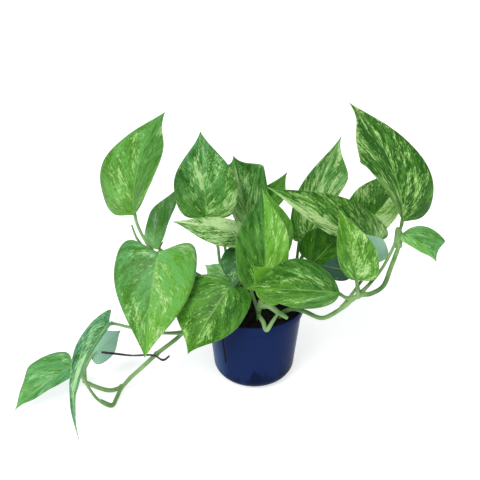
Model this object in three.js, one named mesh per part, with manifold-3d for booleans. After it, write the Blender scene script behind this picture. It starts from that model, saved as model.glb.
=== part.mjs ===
// A potted pothos with marbled leaves: a round plastic pot, its soil, six leafy stems and
// their heart-shaped leaf blades. Two stems leave the pot: one falls over the left of the rim
// and trails on the surface that the pot stands on, the other reaches out to the right.
// Millimetres, +Z up. The origin is the middle of the pot's foot; +X is right, -Y is the front.

import * as THREE from 'three';
import { mergeVertices } from 'three/addons/utils/BufferGeometryUtils.js';
import Module from 'manifold-3d';

const wasm = await Module();
wasm.setup();

// ---------------------------------------------------------------- driving dimensions

const CLEAR = 0.3; // gap kept between pieces that touch

const POT = {
  rimRadius: 52.5,
  bodyTopRadius: 50,
  footRadius: 42.5,
  height: 88,
  rimBand: 9,
  wall: 2,
  floor: 2.4,
  rimStep: 1.5,
  rimDraft: 0.6,
  lipRound: 1,
  ledge: 3,
  edgeRound: 16,
  edgeSteps: 4,
  sides: 40,
  drains: 5,
  drainRadius: 3.5,
  drainRing: 15,
};

const SOIL = {
  below: 10,
  dome: 3,
  lump: 1.1,
  lumpAcross: 0.55,
  lumpAlong: 0.47,
  rings: 4,
  sides: 24,
  holeDepth: 26,
  holeSides: 12,
};

// turn is the share of the side veins that end in the round lobe; lobeOut, shoulder, drawnIn and
// drawnFrom shape the edge, and ripple and rippleShift set the ripples along it, in radians.
const BLADE = {
  thick: 0.9,
  rows: 10,
  half: 3,
  turn: 0.42,
  lobeOut: 0.45,
  shoulder: 0.42,
  drawnIn: 0.2,
  drawnFrom: 0.8,
  ripple: 15,
  rippleShift: 1.2,
};

const STALK = { radius: 1.6, sides: 6, steps: 6, reach: 2, gap: 0.45 };

const VINE = { radius: 2.3, sides: 8, stepLength: 11, knuckle: 1.45, rootHeights: [57, 69, 80] };

const LOOKS = {
  pot: { color: 0x1c2c5c, roughness: 0.25, metalness: 0 },
  soil: { color: 0x2b1f17, roughness: 0.95, metalness: 0 },
  stem: { color: 0x7fae5a, roughness: 0.5, metalness: 0 },
  root: { color: 0x4a3b33, roughness: 0.8, metalness: 0 },
  leaf: { color: 0x6aa83c, roughness: 0.4, metalness: 0 },
};

// Every blade: the point where its stalk joins it, its tip, the way its upper side faces, and
// its shape. width, lobe and fold are pairs, for the left and the right half: how wide the half
// is, how far its lobe reaches back as a share of the length, and how many degrees it lifts from
// the midrib. broad is where the blade is widest, and curl bends its edges, in degrees. arch and
// sway bow the midrib up and sideways, as a share of the length. twist turns the tip against
// the base, in degrees, and wave is the height of the ripples along the edge, in millimetres.
const LEAVES = {
  leaf_left_top: {
    base: [-119, -10, 193], tip: [-87, 25, 286], face: [-0.5, -0.75, 0.4], width: [47, 35],
    lobe: [0.07, -0.06], broad: [0.14, 0.5], fold: [15, 30], curl: -8, arch: 0.04, sway: -0.08,
    twist: -30, wave: 1,
  },
  leaf_left_behind: {
    base: [-99, 4, 147], tip: [-73, 29, 210], face: [-0.6, -0.75, 0.2], width: [23, 20],
    lobe: [0.04, -0.1], broad: [0.35, 0.4], fold: [12, 50], curl: 0, arch: -0.06, sway: -0.05,
    twist: 0, wave: 1,
  },
  leaf_left_hanging: {
    base: [-96, -25, 160], tip: [-107, -82, 75], face: [0, -0.75, 0.6], width: [41, 44],
    lobe: [0.11, 0.09], broad: [0.16, 0.17], fold: [-10, -10], curl: -8, arch: 0.06, sway: 0,
    twist: 0, wave: 1.5,
  },
  leaf_trail_end: {
    base: [-188, -45, 36], tip: [-245, -74, 3], face: [-0.1, -0.6, 0.8], width: [9, 29],
    lobe: [0.04, 0.06], broad: [0.3, 0.45], fold: [-20, -12], curl: 0, arch: 0.12, sway: 0,
    twist: 0, wave: 2.5,
  },
  leaf_trail_droop: {
    base: [-147, -40, 87], tip: [-172, -115, 1.5], face: [-0.75, -0.4, 0.5], width: [12, 17],
    lobe: [0.04, 0.1], broad: [0.6, 0.14], fold: [20, 20], curl: 0, arch: 0.15, sway: 0,
    twist: -30, wave: 1,
  },
  leaf_trail_under: {
    base: [-174, -25, 33], tip: [-142, -10, 57], face: [0.1, 0.8, -0.2], width: [15, 17],
    lobe: [0.05, 0.05], broad: [0.35, 0.45], fold: [10, 10], curl: 0, arch: -0.05, sway: 0,
    twist: 0, wave: 1,
  },
  leaf_back_left: {
    base: [-49, 5, 184], tip: [-54, 30, 265], face: [0.05, -0.85, 0.4], width: [30, 33],
    lobe: [0.02, 0.04], broad: [0.38, 0.33], fold: [12, 12], curl: -5, arch: 0.05, sway: 0,
    twist: 0, wave: 1,
  },
  leaf_middle_pale: {
    base: [-11, -12, 170], tip: [-79, -42, 202], face: [-0.1, -0.8, 0.5], width: [15, 14],
    lobe: [0.02, 0.06], broad: [0.35, 0.2], fold: [-8, -20], curl: 0, arch: 0.04, sway: 0.02,
    twist: 0, wave: 1,
  },
  leaf_back_middle: {
    base: [-5, 22, 165], tip: [-22, 45, 234], face: [0.1, -0.85, 0.3], width: [18, 28],
    lobe: [0.04, 0.02], broad: [0.9, 0.74], fold: [10, 10], curl: 0, arch: -0.05, sway: 0,
    twist: 0, wave: 1,
  },
  leaf_back_small: {
    base: [-5, 46, 166], tip: [34, 50, 214], face: [-0.2, -0.8, 0.4], width: [12, 16],
    lobe: [0.03, 0.03], broad: [0.35, 0.6], fold: [20, 20], curl: 0, arch: 0.04, sway: 0.05,
    twist: 0, wave: 0.6,
  },
  leaf_middle_tall: {
    base: [8, -46, 130], tip: [6, -10, 223], face: [0, -0.9, 0.3], width: [29, 23],
    lobe: [0.02, 0.02], broad: [0.46, 0.46], fold: [14, 14], curl: -5, arch: 0.03, sway: 0.02,
    twist: 0, wave: 0.8,
  },
  leaf_middle_dark: {
    base: [13, 0, 139], tip: [10, 12, 212], face: [0.2, -0.9, 0.2], width: [20, 26],
    lobe: [0.03, 0.03], broad: [0.4, 0.4], fold: [10, 10], curl: 0, arch: 0.03, sway: 0,
    twist: 0, wave: 0.8,
  },
  leaf_middle_young: {
    base: [28, -51, 129], tip: [-4, -66, 169], face: [0.1, -0.8, 0.5], width: [20, 12],
    lobe: [0.03, 0.03], broad: [0.5, 0.5], fold: [8, 8], curl: 0, arch: 0.02, sway: 0,
    twist: 0, wave: 0.5,
  },
  leaf_middle_shaded: {
    base: [-10, -18, 157], tip: [-22, -46, 131], face: [-0.3, -0.8, 0.4], width: [11, 21],
    lobe: [0.06, 0.06], broad: [0.35, 0.35], fold: [0, 0], curl: 0, arch: 0.04, sway: 0,
    twist: 0, wave: 0.5,
  },
  leaf_front_right: {
    base: [82, -46, 126], tip: [-12, -82, 154], face: [0.1, -0.8, 0.6], width: [18, 32],
    lobe: [-0.03, -0.04], broad: [0.45, 0.45], fold: [-16, -10], curl: -5, arch: 0.08, sway: 0,
    twist: 0, wave: 2,
  },
  leaf_front_left: {
    base: [-23, -36, 131], tip: [-66, -76, 75], face: [-0.2, -0.75, 0.6], width: [29, 46],
    lobe: [0.05, -0.01], broad: [0.37, 0.48], fold: [-12, -8], curl: -5, arch: 0.06, sway: 0,
    twist: 0, wave: 1.5,
  },
  leaf_front_small: {
    base: [-26, -11, 122], tip: [-51, -13, 139], face: [-0.25, -0.8, 0.6], width: [13, 8],
    lobe: [0.05, 0.05], broad: [0.5, 0.5], fold: [0, 0], curl: 0, arch: 0.04, sway: 0,
    twist: 0, wave: 0.5,
  },
  leaf_right_upright: {
    base: [54, 25, 146], tip: [89, 60, 249], face: [0, -0.9, 0.35], width: [21, 25],
    lobe: [0.05, -0.18], broad: [0.33, 0.62], fold: [18, 18], curl: 0, arch: 0.03, sway: -0.05,
    twist: -50, wave: 1,
  },
  leaf_right_long: {
    base: [111, -14, 161], tip: [9, -32, 233], face: [0, -0.8, 0.6], width: [15, 32],
    lobe: [-0.14, 0.16], broad: [0.32, 0.18], fold: [-60, -8], curl: 0, arch: 0.06, sway: 0,
    twist: 0, wave: 1.5,
  },
  leaf_right_front: {
    base: [97, -50, 143], tip: [76, -38, 214], face: [-0.1, -0.9, 0.3], width: [14, 24],
    lobe: [-0.04, 0.05], broad: [0.35, 0.3], fold: [14, 14], curl: 0, arch: 0.04, sway: 0.02,
    twist: 0, wave: 1,
  },
  leaf_right_under: {
    base: [115, -27, 147], tip: [96, -25, 184], face: [0.2, 0.9, -0.2], width: [21, 14],
    lobe: [0.05, 0.05], broad: [0.4, 0.4], fold: [10, 10], curl: 0, arch: -0.05, sway: 0,
    twist: 0, wave: 1,
  },
  leaf_right_low: {
    base: [98, -22, 137], tip: [66, -16, 140], face: [0.1, 0.9, -0.3], width: [13, 13],
    lobe: [-0.02, -0.02], broad: [0.45, 0.45], fold: [10, 10], curl: 0, arch: -0.05, sway: 0,
    twist: 0, wave: 0.6,
  },
  leaf_right_shaded: {
    base: [60, 2, 132], tip: [95, 2, 176], face: [-0.3, -0.8, 0.4], width: [26, 20],
    lobe: [0.05, 0.05], broad: [0.35, 0.35], fold: [10, 10], curl: 0, arch: 0.03, sway: 0,
    twist: 0, wave: 1,
  },
  leaf_right_back: {
    base: [116, 32, 160], tip: [159, 42, 221], face: [0.3, -0.8, 0.4], width: [37, 22],
    lobe: [0.04, 0.06], broad: [0.35, 0.3], fold: [10, 60], curl: 0, arch: 0.05, sway: 0,
    twist: 0, wave: 1,
  },
  leaf_right_top: {
    base: [140, -30, 196], tip: [82, -20, 309], face: [0.1, -0.8, 0.5], width: [30, 34],
    lobe: [-0.25, 0.06], broad: [0.62, 0.16], fold: [25, 8], curl: -5, arch: 0.06, sway: 0.07,
    twist: 0, wave: 2.5,
  },
  leaf_right_tip: {
    base: [140, -32, 184], tip: [172, -46, 161], face: [0.3, -0.7, 0.6], width: [26, 8],
    lobe: [-0.06, 0], broad: [0.9, 0.3], fold: [-12, -15], curl: 0, arch: 0.08, sway: -0.06,
    twist: 0, wave: 0.6,
  },
  leaf_rear_left: {
    base: [-31, 44, 148], tip: [-64, 104, 116], face: [-0.1, 0.5, 0.85], width: [24, 24],
    lobe: [0.07, 0.07], broad: [0.3, 0.3], fold: [10, 10], curl: -6, arch: 0.1, sway: 0,
    twist: 0, wave: 1.5,
  },
  leaf_rear_middle: {
    base: [8, 44, 138], tip: [-2, 112, 104], face: [0, 0.5, 0.85], width: [25, 25],
    lobe: [0.07, 0.07], broad: [0.3, 0.3], fold: [10, 10], curl: -6, arch: 0.1, sway: 0,
    twist: 0, wave: 1.5,
  },
  leaf_rear_right: {
    base: [50, 48, 146], tip: [88, 104, 118], face: [0.1, 0.5, 0.85], width: [23, 23],
    lobe: [0.07, 0.07], broad: [0.3, 0.3], fold: [10, 10], curl: -6, arch: 0.1, sway: 0,
    twist: 0, wave: 1.5,
  },
};

// Every leafy stem: the run of its vine, from inside the soil to its last node, the nodes that
// are swollen into a knuckle, the stalks, each ending under the leaf that it is named for, and
// the bare shoots and old leaf sheaths, with their radius.
const STEMS = {
  stem_left_trail: {
    vine: [
      [-33, -12, 84], [-47, -16, 94], [-62, -20, 80], [-78, -26, 61],
      [-102, -36, 45], [-116, -41, 33], [-130, -42, 19], [-141, -40, 5], [-152, -43, 2.7],
      [-165, -40, 3.5], [-183, -32, 6],
    ],
    knuckles: [4, 7],
    stalks: {
      leaf_trail_end: [[-141, -40, 5], [-144, -56, 2.5], [-147, -67, 1.8], [-163, -59, 4]],
      leaf_trail_droop: [[-76, -25, 64], [-98, -32, 69], [-127, -38, 80]],
      leaf_trail_under: [[-181, -33, 6], [-181, -30, 18], [-177, -28, 27]],
    },
    shoots: [
      { radius: 1.2, path: [[-130, -42, 19], [-131, -46, 18], [-132, -48, 17]] },
      { radius: 2.2, path: [[-141, -40, 5], [-144, -56, 3.2], [-147, -66, 2.6], [-160, -60, 4]] },
      { radius: 2.4, path: [[-181, -33, 6], [-181, -31, 15], [-180, -30, 24]] },
    ],
  },
  stem_left_tall: {
    vine: [[-34, 8, 84], [-50, 6, 108], [-72, 2, 126], [-90, -2, 138]],
    knuckles: [2],
    stalks: {
      leaf_left_top: [[-88, -3, 137], [-102, -12, 154], [-114, -10, 176]],
      leaf_left_behind: [[-84, 0, 134], [-91, 6, 141]],
      leaf_left_hanging: [[-78, 0, 130], [-88, -10, 148]],
    },
    shoots: [
      { radius: 1.5, path: [[-88, -2, 137], [-106, -6, 149], [-118, -5, 164], [-123, -3, 179]] },
    ],
  },
  stem_middle_left: {
    vine: [[-18, 12, 84], [-22, 10, 108], [-22, 10, 126]],
    knuckles: [1],
    stalks: {
      leaf_back_left: [[-21, 11, 104], [-35, 2, 130], [-38, 3, 152], [-44, 6, 172]],
      leaf_back_middle: [[-22, 10, 126], [-12, 22, 148]],
      leaf_back_small: [[-22, 10, 118], [-12, 43, 144]],
      leaf_front_left: [[-20, 10, 98], [-22, -14, 120]],
      leaf_front_small: [[-21, 11, 103], [-23, -1, 114]],
      leaf_middle_pale: [[-22, 10, 120], [-16, 2, 148]],
      leaf_rear_left: [[-22, 10, 112], [-31, 27, 136]],
      leaf_rear_middle: [[-19, 12, 96], [0, 26, 124]],
    },
    shoots: [],
  },
  stem_middle_front: {
    vine: [[4, -24, 84], [4, -28, 96], [5, -32, 108]],
    knuckles: [1],
    stalks: {
      leaf_middle_tall: [[4, -28, 96], [8, -36, 114]],
      leaf_middle_young: [[5, -32, 106], [18, -34, 116]],
      leaf_middle_shaded: [[4, -26, 90], [-6, -12, 118], [-6, -14, 146]],
      leaf_middle_dark: [[4, -27, 94], [9, -8, 110], [13, 4, 128]],
    },
    shoots: [
      {
        radius: 2.4,
        path: [[4, -26, 86], [8, -46, 91.5], [11, -56, 89], [17, -51, 96], [22, -46, 101]],
      },
      { radius: 3, path: [[5, -30, 100], [14, -42, 108], [22, -46, 104], [32, -50, 99]] },
    ],
  },
  stem_right_back: {
    vine: [[28, 12, 84], [40, 14, 104], [48, 20, 122]],
    knuckles: [1],
    stalks: {
      leaf_right_upright: [[48, 20, 122], [53, 24, 136]],
      leaf_right_back: [[44, 17, 112], [80, 26, 134], [106, 32, 146]],
      leaf_right_long: [[40, 14, 104], [76, 18, 124], [110, 8, 140], [118, -4, 152]],
      leaf_right_shaded: [[36, 13, 98], [52, 8, 116]],
      leaf_rear_right: [[44, 17, 112], [47, 34, 132]],
    },
    shoots: [],
  },
  stem_right_reach: {
    vine: [
      [27, -21, 84], [38, -27, 95], [50, -34, 96.5], [67, -42, 94],
      [84, -42, 104], [101, -42, 120], [114, -42, 123], [125, -40, 130], [131, -37, 148],
      [138, -33, 172],
    ],
    knuckles: [5, 9],
    stalks: {
      leaf_front_right: [[101, -42, 120], [93, -43, 117]],
      leaf_right_front: [[101, -42, 120], [99, -46, 130]],
      leaf_right_top: [[103, -41, 122], [113, -38, 133], [124, -37, 151], [136, -28, 176]],
      leaf_right_tip: [[138, -33, 172], [138, -29, 177]],
      leaf_right_under: [[86, -42, 106], [102, -32, 126]],
      leaf_right_low: [[101, -42, 120], [101, -36, 127]],
    },
    shoots: [
      { radius: 2.4, path: [[101, -42, 120], [94, -43, 118], [88, -44, 120]] },
      { radius: 4.3, path: [[137, -30, 168], [138, -27, 178], [137, -25, 187]] },
    ],
  },
};

// The dry aerial roots of the trailing vine.
const AERIAL_ROOTS = {
  aerial_root: {
    path: [[-160, -33, 45], [-130, -38, 45], [-104, -40.2, 46], [-95, -42, 42], [-88, -42, 47]],
    radius: 0.9,
  },
};

// ---------------------------------------------------------------- small helpers

const vec = (p) => new THREE.Vector3(...p);

function solidOf(geometry) {
  const bare = geometry.clone();
  bare.deleteAttribute('normal');
  bare.deleteAttribute('uv');
  const merged = mergeVertices(bare, 1e-4);
  const mesh = new wasm.Mesh({
    numProp: 3,
    vertProperties: new Float32Array(merged.attributes.position.array),
    triVerts: new Uint32Array(merged.index.array),
  });
  return new wasm.Manifold(mesh);
}

function geometryOf(solid) {
  const mesh = solid.getMesh();
  const geometry = new THREE.BufferGeometry();
  geometry.setAttribute('position', new THREE.BufferAttribute(mesh.vertProperties, 3));
  geometry.setIndex(new THREE.BufferAttribute(mesh.triVerts, 1));
  geometry.computeVertexNormals();
  return geometry;
}

function named(name, geometry, look) {
  const mesh = new THREE.Mesh(geometry, new THREE.MeshStandardMaterial(look));
  mesh.name = name;
  return mesh;
}

function tube(points, radius, sides, steps) {
  const section = new THREE.Shape();
  for (let i = 0; i < sides; i++) {
    const a = (i / sides) * Math.PI * 2;
    const corner = [radius * Math.cos(a), radius * Math.sin(a)];
    if (i === 0) section.moveTo(...corner);
    else section.lineTo(...corner);
  }
  section.closePath();
  const curve = new THREE.CatmullRomCurve3(points.map(vec), false, 'centripetal');
  return new THREE.ExtrudeGeometry(section, { steps, extrudePath: curve, curveSegments: 1 });
}

function pathLength(points) {
  const curve = new THREE.CatmullRomCurve3(points.map(vec), false, 'centripetal');
  return curve.getLength();
}

// ---------------------------------------------------------------- pot and soil

const wallAt = (z) => POT.footRadius + ((POT.bodyTopRadius - POT.footRadius) * z) / POT.height;

// The round edge of the foot, from the inside out: a quarter of a circle that starts at height z.
function footEdge(radius, z) {
  const points = [];
  for (let i = 0; i <= POT.edgeSteps; i++) {
    const a = (i / POT.edgeSteps) * (Math.PI / 2);
    const r = wallAt(POT.edgeRound) - POT.edgeRound + radius * Math.sin(a);
    points.push(new THREE.Vector2(r, z + radius * (1 - Math.cos(a))));
  }
  return points;
}

function potProfile() {
  const p = POT;
  const under = p.height - p.rimBand;
  return [
    new THREE.Vector2(0, 0),
    ...footEdge(p.edgeRound, 0),
    new THREE.Vector2(wallAt(under - p.rimStep), under - p.rimStep),
    new THREE.Vector2(p.rimRadius - p.rimDraft, under),
    new THREE.Vector2(p.rimRadius, p.height - p.lipRound),
    new THREE.Vector2(p.rimRadius - p.lipRound, p.height),
    new THREE.Vector2(p.rimRadius - p.wall, p.height),
    new THREE.Vector2(wallAt(under) - p.wall, under - p.ledge),
    ...footEdge(p.edgeRound - p.wall, p.floor).reverse(),
    new THREE.Vector2(0, p.floor),
  ];
}

function pot() {
  const turned = new THREE.LatheGeometry(potProfile(), POT.sides);
  turned.rotateX(Math.PI / 2);
  let body = solidOf(turned);
  for (let i = 0; i < POT.drains; i++) {
    const a = (i / POT.drains) * Math.PI * 2;
    const drill = new THREE.CylinderGeometry(POT.drainRadius, POT.drainRadius, POT.floor * 4, 10);
    drill.rotateX(Math.PI / 2);
    drill.translate(POT.drainRing * Math.cos(a), POT.drainRing * Math.sin(a), POT.floor / 2);
    body = body.subtract(solidOf(drill));
  }
  return named('pot', geometryOf(body), LOOKS.pot);
}

// The soil fills the pot to its inner wall, and its top is a low lumpy mound. Every stem
// stands in a plain round hole.
function soil() {
  const top = POT.height - SOIL.below;
  const edge = wallAt(top) - POT.wall - CLEAR * 2;
  const outline = [
    new THREE.Vector2(0, POT.floor + CLEAR),
    ...footEdge(POT.edgeRound - POT.wall - CLEAR * 1.5, POT.floor + CLEAR),
    new THREE.Vector2(edge, top),
  ];
  for (let i = SOIL.rings - 1; i >= 0; i--) {
    const r = (edge * i) / SOIL.rings;
    outline.push(new THREE.Vector2(r, top + SOIL.dome * (1 - (r / edge) ** 2)));
  }
  const geometry = new THREE.LatheGeometry(outline, SOIL.sides);
  const at = geometry.attributes.position;
  for (let i = 0; i < at.count; i++) {
    const [x, y, z] = [at.getX(i), at.getY(i), at.getZ(i)];
    // the lathe turns about Y, so Y is still the height here
    if (y < top + 0.01 || Math.hypot(x, z) > edge - 1) continue;
    at.setY(i, y + SOIL.lump * Math.sin(x * SOIL.lumpAcross) * Math.cos(z * SOIL.lumpAlong + 1));
  }
  geometry.rotateX(Math.PI / 2);
  let body = solidOf(geometry);
  for (const stem of Object.values(STEMS)) {
    const [x, y] = stem.vine[0];
    const bore = (VINE.radius + CLEAR * 2) / Math.cos(Math.PI / SOIL.holeSides);
    const hole = new THREE.CylinderGeometry(bore, bore, SOIL.holeDepth * 2, SOIL.holeSides);
    hole.rotateX(Math.PI / 2);
    hole.translate(x, y, top + SOIL.dome);
    body = body.subtract(solidOf(hole));
  }
  return named('soil', geometryOf(body), LOOKS.soil);
}

// ---------------------------------------------------------------- leaf blades

const bezier = (a, b, c, d, t) => {
  const s = 1 - t;
  return a * s * s * s + 3 * b * s * s * t + 3 * c * s * t * t + d * t * t * t;
};

// The edge of half a flat blade, one unit long and one wide, at u from the stalk (0) to the
// tip (1): a round lobe to the widest place, then a long curve into a drawn-out tip.
function edgeAt(u, lobe, broad) {
  const { turn, lobeOut, shoulder, drawnIn, drawnFrom } = BLADE;
  if (u < turn) {
    const t = u / turn;
    return [bezier(0, lobeOut, 1, 1, t), bezier(0, -lobe * 0.6, -lobe * 3, broad, t)];
  }
  const t = (u - turn) / (1 - turn);
  const above = broad + (1 - broad) * shoulder;
  return [bezier(1, 1, drawnIn, 0, t), bezier(broad, above, drawnFrom, 1, t)];
}

// A blade's own directions: along the midrib, to the right of it and up out of its upper side.
function axesOf(leaf) {
  const along = vec(leaf.tip).sub(vec(leaf.base));
  const length = along.length();
  along.normalize();
  const up = vec(leaf.face);
  up.addScaledVector(along, -up.dot(along)).normalize();
  const right = new THREE.Vector3().crossVectors(along, up);
  return { along, up, right, length };
}

// A point of the blade's middle surface. u runs along the midrib, v from the left edge (-1) to
// the right edge (1), and lines of one u are the side veins.
function bladePoint(leaf, axes, u, v) {
  const hand = v > 0 ? 1 : 0;
  const [edgeX, edgeY] = edgeAt(u, leaf.lobe[hand], leaf.broad[hand]);
  const rib = u * u;
  const side = Math.abs(v);
  const y = rib + (edgeY - rib) * side;
  const half = edgeX * side * leaf.width[hand];
  const bend = THREE.MathUtils.degToRad(leaf.fold[hand] + leaf.curl * side);
  let x = Math.sign(v) * half * Math.cos(bend);
  let z = half * Math.sin(bend);
  const ripple = Math.sin(u * BLADE.ripple + hand * BLADE.rippleShift) * Math.sin(Math.PI * u);
  z += leaf.wave * side * side * ripple;
  const turn = THREE.MathUtils.degToRad(leaf.twist) * (y - 0.5);
  const swing = [Math.cos(turn), Math.sin(turn)];
  [x, z] = [x * swing[0] - z * swing[1], x * swing[1] + z * swing[0]];
  const bow = 4 * y * (1 - y) * axes.length;
  x += leaf.sway * bow;
  z += leaf.arch * bow;
  return vec(leaf.base)
    .addScaledVector(axes.along, y * axes.length)
    .addScaledVector(axes.right, x)
    .addScaledVector(axes.up, z);
}

// The two faces of a blade are the middle surface moved half its thickness each way, split
// into the same triangles, and a strip along the edge closes them.
function blade(leaf) {
  const axes = axesOf(leaf);
  const { rows, half } = BLADE;
  const across = 2 * half + 1;
  const middle = [bladePoint(leaf, axes, 0, 0)];
  for (let i = 1; i < rows; i++) {
    for (let j = -half; j <= half; j++) middle.push(bladePoint(leaf, axes, i / rows, j / half));
  }
  middle.push(bladePoint(leaf, axes, 1, 0));
  const tip = middle.length - 1;
  const at = (i, j) => 1 + (i - 1) * across + j;
  const faces = [];
  for (let j = 0; j < across - 1; j++) {
    faces.push([0, at(1, j + 1), at(1, j)]);
    faces.push([tip, at(rows - 1, j), at(rows - 1, j + 1)]);
    for (let i = 1; i < rows - 1; i++) {
      const [a, b, c, d] = [at(i, j), at(i, j + 1), at(i + 1, j + 1), at(i + 1, j)];
      if (j < half) faces.push([a, b, c], [a, c, d]);
      else faces.push([a, b, d], [b, c, d]);
    }
  }
  const rim = [0];
  for (let i = 1; i < rows; i++) rim.push(at(i, across - 1));
  rim.push(tip);
  for (let i = rows - 1; i > 0; i--) rim.push(at(i, 0));

  const sheet = new THREE.BufferGeometry().setFromPoints(middle);
  sheet.setIndex(faces.flat());
  sheet.computeVertexNormals();
  const normal = new THREE.Vector3();
  const points = [];
  for (const way of [0.5, -0.5]) {
    for (let k = 0; k <= tip; k++) {
      normal.fromBufferAttribute(sheet.attributes.normal, k);
      points.push(middle[k].clone().addScaledVector(normal, way * BLADE.thick));
    }
  }
  const under = tip + 1;
  const index = faces.flat();
  for (const [a, b, c] of faces) index.push(a + under, c + under, b + under);
  rim.forEach((a, k) => {
    const b = rim[(k + 1) % rim.length];
    index.push(b, a, a + under, b, a + under, b + under);
  });
  const solid = new THREE.BufferGeometry().setFromPoints(points);
  solid.setIndex(index);
  solid.computeVertexNormals();
  return solid;
}

// ---------------------------------------------------------------- stems, stalks and roots

// A stalk ends just under its blade, a little way out from the base, in line with the midrib.
function stalkPath(route, leaf) {
  const { along, up } = axesOf(leaf);
  const last = vec(route.at(-1));
  const arrive = vec(leaf.base).sub(last).normalize();
  const slant = new THREE.Vector3().crossVectors(arrive, up).length();
  const fall = Math.max(0, -Math.sin(THREE.MathUtils.degToRad(Math.min(...leaf.fold))));
  const drop = BLADE.thick / 2 + STALK.gap + STALK.radius * (slant + fall / 2);
  const sag = -STALK.reach * leaf.arch * (leaf.arch < 0 ? 4 : 2);
  const end = vec(leaf.base)
    .addScaledVector(along, STALK.reach)
    .addScaledVector(up, -drop - sag);
  return [...route, end.toArray()];
}

// Every vine goes straight down into the soil below its first point.
function rooted(vine) {
  const [x, y] = vine[0];
  return [...VINE.rootHeights.map((z) => [x, y, z]), ...vine];
}

function stem(name, plan) {
  const run = rooted(plan.vine);
  const steps = Math.round(pathLength(run) / VINE.stepLength);
  let body = solidOf(tube(run, VINE.radius, VINE.sides, steps));
  for (const k of plan.knuckles) {
    const knuckle = new THREE.SphereGeometry(VINE.radius * VINE.knuckle, 8, 6);
    knuckle.translate(...plan.vine[Math.min(k, plan.vine.length - 1)]);
    body = body.add(solidOf(knuckle));
  }
  for (const [leafName, route] of Object.entries(plan.stalks)) {
    const path = stalkPath(route, LEAVES[leafName]);
    body = body.add(solidOf(tube(path, STALK.radius, STALK.sides, STALK.steps)));
  }
  for (const { path, radius } of plan.shoots) {
    body = body.add(solidOf(tube(path, radius, STALK.sides, STALK.steps)));
  }
  return named(name, geometryOf(body), LOOKS.stem);
}

// ---------------------------------------------------------------- the whole plant

const plant = new THREE.Group();
plant.add(pot(), soil());
for (const [name, plan] of Object.entries(STEMS)) plant.add(stem(name, plan));
for (const [name, leaf] of Object.entries(LEAVES)) plant.add(named(name, blade(leaf), LOOKS.leaf));
for (const [name, root] of Object.entries(AERIAL_ROOTS)) {
  plant.add(named(name, tube(root.path, root.radius, 6, 12), LOOKS.root));
}

export default plant;
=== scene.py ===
"""A marbled pothos plant in a round plastic pot, built around its CAD frame."""

import math
import random
from collections import namedtuple

import bmesh
import bpy
from mathutils import Matrix, Vector, noise


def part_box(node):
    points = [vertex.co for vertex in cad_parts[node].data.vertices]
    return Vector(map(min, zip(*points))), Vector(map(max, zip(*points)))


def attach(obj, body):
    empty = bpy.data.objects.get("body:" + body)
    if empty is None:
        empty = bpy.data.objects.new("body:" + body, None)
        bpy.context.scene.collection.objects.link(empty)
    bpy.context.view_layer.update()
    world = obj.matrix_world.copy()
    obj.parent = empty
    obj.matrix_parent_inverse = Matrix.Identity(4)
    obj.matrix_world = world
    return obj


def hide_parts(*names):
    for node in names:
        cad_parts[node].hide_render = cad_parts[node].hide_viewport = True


bl_info = {
    "name": "Potted pothos plant",
    "version": (1, 0, 0),
    "blender": (4, 5, 0),
    "location": "3D View > Sidebar > Pothos",
    "description": "Builds a marbled pothos plant in a round plastic pot, piece by piece",
    "category": "Add Mesh",
}

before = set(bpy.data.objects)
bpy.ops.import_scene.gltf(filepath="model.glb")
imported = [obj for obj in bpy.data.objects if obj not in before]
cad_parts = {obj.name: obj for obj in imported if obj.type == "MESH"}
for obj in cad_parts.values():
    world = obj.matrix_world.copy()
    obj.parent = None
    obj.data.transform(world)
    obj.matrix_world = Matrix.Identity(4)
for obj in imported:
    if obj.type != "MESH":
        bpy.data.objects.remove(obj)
POT_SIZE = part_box("pot")[1]  # half the pot's width, half its depth, and its height, in metres

MM = 0.001  # the tables below are in millimetres

# A blade's base, tip and the way its upper side faces; the width, lobe, broadest place and fold
# of its left and right half; and its bow up, curl, bow sideways, twist and edge wave. Lobe,
# broadest place and bows are shares of its length; fold, curl and twist are in degrees.
Blade = namedtuple(
    "Blade", "base tip face width lobe broad fold arch curl sway twist wave", defaults=(0, 0, 0, 1)
)

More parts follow.
